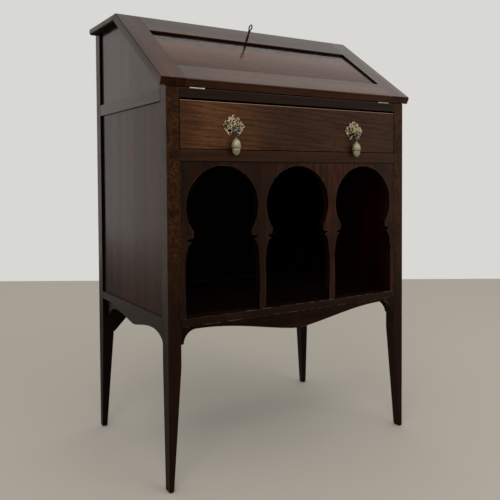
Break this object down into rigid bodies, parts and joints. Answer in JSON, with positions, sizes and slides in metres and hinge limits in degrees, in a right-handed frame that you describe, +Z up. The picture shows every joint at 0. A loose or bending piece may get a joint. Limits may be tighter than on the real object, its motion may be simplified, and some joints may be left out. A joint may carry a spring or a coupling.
{
  "type": "slant-front bureau",
  "caption": "Small slant-front writing bureau on tapered legs, with a hinged framed fall, a drawer with drop handles and an open cupboard behind a fret of horseshoe arches.",
  "frame": {"origin": "on the floor, under the middle of the object's box", "axes": "+X to the right as seen from the front, +Y to the back, +Z up"},
  "size_m": [0.6368, 0.432, 0.9585],
  "materials": {
    "mahogany": "polished red-brown mahogany",
    "dark_mahogany": "dark stained, waxed",
    "inside_wood": "plain waxed mahogany",
    "drawer_wood": "unpolished drawer lining",
    "brass": "aged, softly polished",
    "steel": "dark, worn"
  },
  "bodies": {
    "carcass": {"leg_front_left": "mahogany", "leg_front_right": "mahogany", "leg_back_left": "mahogany", "leg_back_right": "mahogany", "side_panel_upper_left": "mahogany", "side_panel_upper_right": "mahogany", "side_mid_rail_left": "mahogany", "side_mid_rail_right": "mahogany", "side_panel_lower_left": "mahogany", "side_panel_lower_right": "mahogany", "side_bottom_rail_left": "mahogany", "side_bottom_rail_right": "mahogany", "side_apron_left": "mahogany", "side_apron_right": "mahogany", "back_panel_upper": "dark_mahogany", "back_mid_rail": "dark_mahogany", "back_panel_lower": "dark_mahogany", "back_bottom_rail": "dark_mahogany", "back_apron": "dark_mahogany", "drawer_top_rail": "mahogany", "drawer_rail": "mahogany", "front_bottom_rail": "mahogany", "front_apron": "mahogany", "fret_panel": "mahogany", "writing_bed": "inside_wood", "cupboard_ceiling": "inside_wood", "cupboard_floor": "dark_mahogany", "drawer_runner_left": "drawer_wood", "drawer_runner_right": "drawer_wood", "pigeonhole_shelf": "inside_wood", "pigeonhole_divider_1": "inside_wood", "pigeonhole_divider_2": "inside_wood", "pigeonhole_divider_3": "inside_wood", "top_board": "mahogany", "lock_keep": "brass", "hinge_leaf_bed_left": "brass", "hinge_leaf_bed_right": "brass", "hinge_pin_left": "brass", "hinge_pin_right": "brass"},
    "fall": {"fall_stile_left": "mahogany", "fall_stile_right": "mahogany", "fall_bottom_rail": "mahogany", "fall_top_rail": "mahogany", "fall_panel": "mahogany", "hinge_leaf_fall_left": "brass", "hinge_leaf_fall_right": "brass", "lock_case": "brass"},
    "drawer": {"drawer_front": "mahogany", "drawer_side_left": "drawer_wood", "drawer_side_right": "drawer_wood", "drawer_back": "drawer_wood", "drawer_bottom": "drawer_wood", "handle_plate_left": "brass", "handle_plate_right": "brass", "handle_stud_left": "brass", "handle_stud_right": "brass"},
    "handle_drop_left": {"handle_drop_left": "brass"},
    "handle_drop_right": {"handle_drop_right": "brass"},
    "key": {"key": "steel"},
    "lock_bolt": {"lock_bolt": "steel"}
  },
  "joints": [
    {"name": "fall_hinge", "type": "hinge", "parent": "carcass", "child": "fall", "pos_m": [0, -0.1977, 0.775], "axis": [1, 0, 0], "range_deg": [0, 145.35]},
    {"name": "drawer_slide", "type": "slide", "parent": "carcass", "child": "drawer", "axis": [0, -1, 0], "range_m": [0, 0.21]},
    {"name": "drop_left_swing", "type": "hinge", "parent": "drawer", "child": "handle_drop_left", "pos_m": [-0.1595, -0.2065, 0.6915], "axis": [-1, 0, 0], "range_deg": [0, 90]},
    {"name": "drop_right_swing", "type": "hinge", "parent": "drawer", "child": "handle_drop_right", "pos_m": [0.1525, -0.2065, 0.6915], "axis": [-1, 0, 0], "range_deg": [0, 90]},
    {"name": "key_turn", "type": "hinge", "parent": "fall", "child": "key", "pos_m": [-0.016, -0.00092, 0.911], "axis": [0, -0.5686, 0.8226], "range_deg": [0, 180]},
    {"name": "bolt_slide", "type": "slide", "parent": "fall", "child": "lock_bolt", "axis": [0, 0.8226, 0.5686], "range_m": [0, 0.007]}
  ],
  "couplings": [
    {"joint": "key_turn", "follows": "bolt_slide", "rad_per_m": 448.8}
  ]
}
